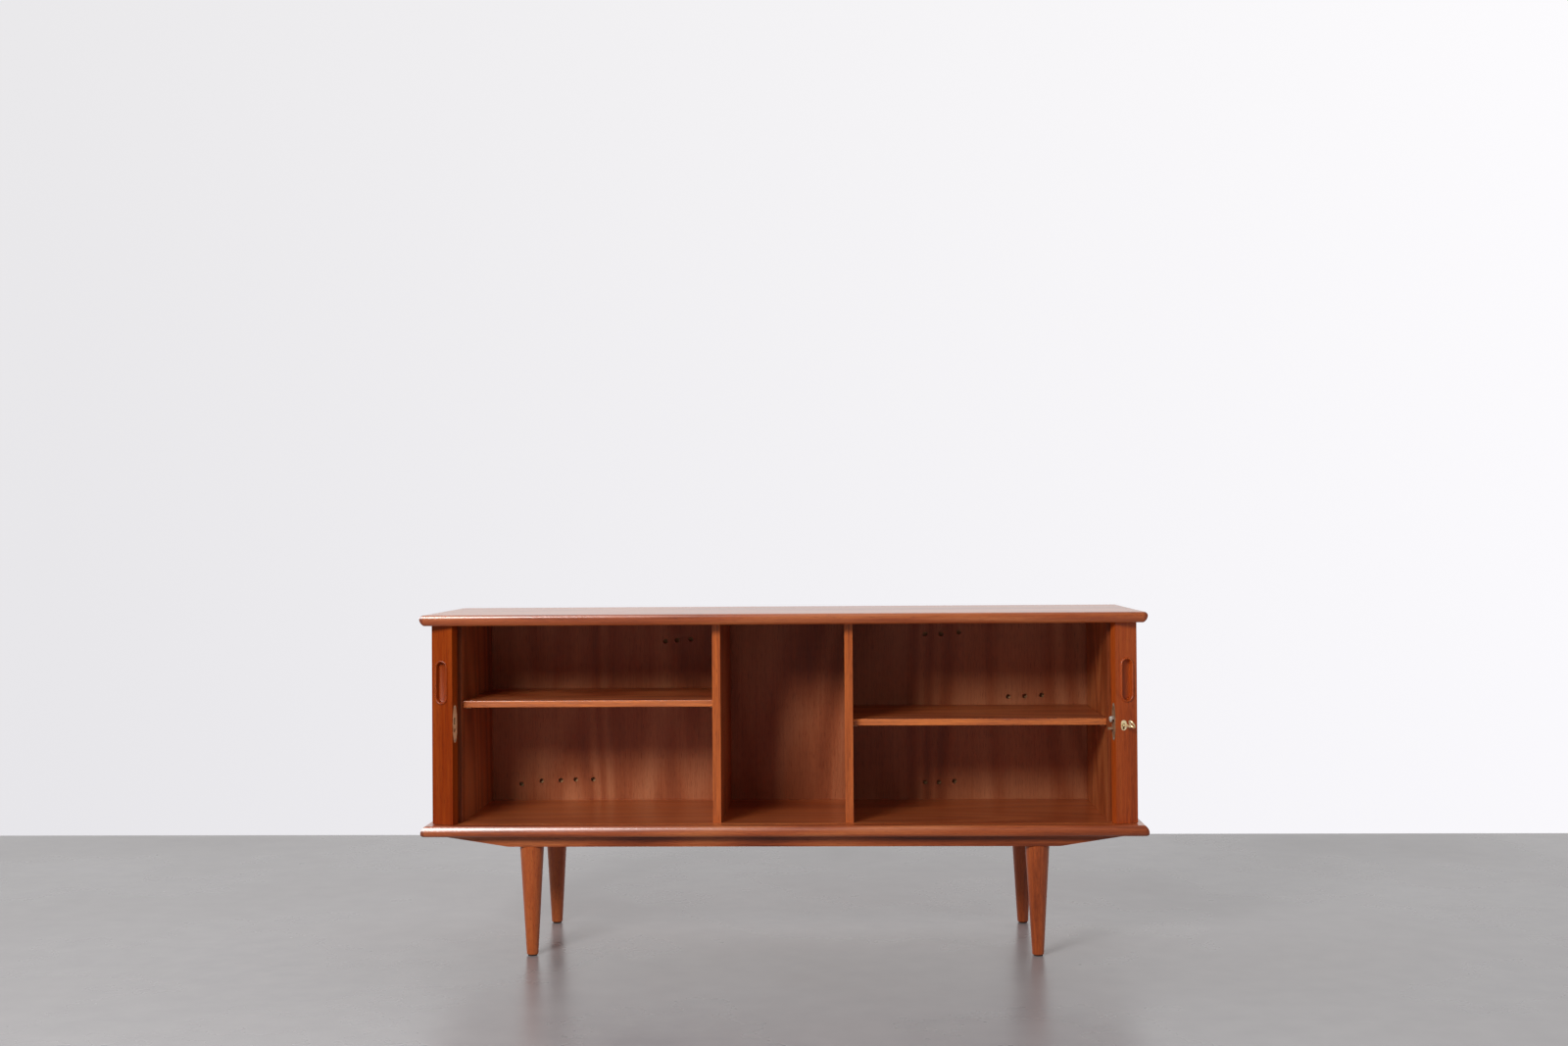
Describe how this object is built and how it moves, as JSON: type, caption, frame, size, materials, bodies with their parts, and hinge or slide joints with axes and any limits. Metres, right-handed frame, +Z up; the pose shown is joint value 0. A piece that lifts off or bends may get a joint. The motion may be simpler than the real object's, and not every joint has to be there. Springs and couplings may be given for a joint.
{
  "type": "tv stand with doors",
  "caption": "Low teak sideboard for a television on tapered round legs, with open shelves behind tambour doors that slide round its ends, and a lock with a key.",
  "frame": {"origin": "on the floor, under the middle of the top board", "axes": "+X to the right along the length, +Y to the back, +Z up; the doors open on the -Y side"},
  "size_m": [1.5, 0.4446, 0.712],
  "materials": {
    "teak": "oiled teak, satin, straight brown grain",
    "teak_back": "teak veneer, satin, upright grain",
    "teak_shelf": "teak veneer with a lighter solid front edge, satin",
    "teak_stile": "solid teak, reddish, satin, upright grain",
    "teak_slat": "solid teak slats, satin, upright grain",
    "teak_leg": "turned solid teak, satin",
    "beech": "plain beech, matt",
    "canvas": "woven cotton backing",
    "brass": "polished brass, slightly tarnished",
    "old_brass": "dull brass",
    "steel": "dull steel",
    "felt": "dark pressed felt"
  },
  "bodies": {
    "carcass": {"top_board": "teak", "bottom_board": "teak", "left_side_panel": "teak", "right_side_panel": "teak", "left_divider": "teak", "right_divider": "teak", "back_panel": "teak_back", "left_shelf": "teak_shelf", "right_shelf": "teak_shelf", "shelf_pegs": "beech", "carcass_dowels": "beech", "back_screws": "brass", "base_front_rail": "teak", "base_rear_rail": "teak", "base_left_cross_rail": "teak", "base_right_cross_rail": "teak", "base_screws": "brass", "front_left_leg": "teak_leg", "front_right_leg": "teak_leg", "rear_left_leg": "teak_leg", "rear_right_leg": "teak_leg", "leg_studs": "steel", "foot_glides": "felt", "left_side_slats": "teak_slat", "left_back_slats": "teak_slat", "left_canvas": "canvas", "right_side_slats": "teak_slat", "right_back_slats": "teak_slat", "right_canvas": "canvas"},
    "left_guide": {"left_guide_pins": "steel"},
    "left_door": {"left_stile": "teak_stile", "left_pull": "teak_stile", "strike_plate": "old_brass", "strike_screws": "steel"},
    "right_guide": {"right_guide_pins": "steel"},
    "right_door": {"right_stile": "teak_stile", "right_pull": "teak_stile", "lock_case": "steel", "lock_plate": "steel", "lock_screws": "steel", "escutcheon": "brass"},
    "lock_bolt": {"hook_bolt": "steel"},
    "key": {"key": "brass"}
  },
  "joints": [
    {"name": "left_door_slide", "type": "slide", "parent": "carcass", "child": "left_guide", "axis": [1, 0, 0], "range_m": [0, 0.68125]},
    {"name": "left_stile_turn", "type": "hinge", "parent": "left_guide", "child": "left_door", "pos_m": [-0.696, -0.18, 0.483], "axis": [0, 0, 1], "range_deg": [0, 20]},
    {"name": "right_door_slide", "type": "slide", "parent": "carcass", "child": "right_guide", "axis": [-1, 0, 0], "range_m": [0, 0.68125]},
    {"name": "right_stile_turn", "type": "hinge", "parent": "right_guide", "child": "right_door", "pos_m": [0.696, -0.18, 0.483], "axis": [0, 0, -1], "range_deg": [0, 20]},
    {"name": "key_turn", "type": "hinge", "parent": "right_door", "child": "key", "pos_m": [0.69976, -0.17863, 0.4776], "axis": [0.342, -0.9397, 0], "range_deg": [0, 180]},
    {"name": "bolt_slide", "type": "slide", "parent": "right_door", "child": "lock_bolt", "axis": [0.9397, 0.342, 0], "range_m": [0, 0.0104]}
  ],
  "couplings": [
    {"joint": "left_stile_turn", "follows": "left_door_slide", "rad_per_m": 0.51239},
    {"joint": "right_stile_turn", "follows": "right_door_slide", "rad_per_m": 0.51239},
    {"joint": "bolt_slide", "follows": "key_turn", "m_per_rad": 0.00328}
  ]
}
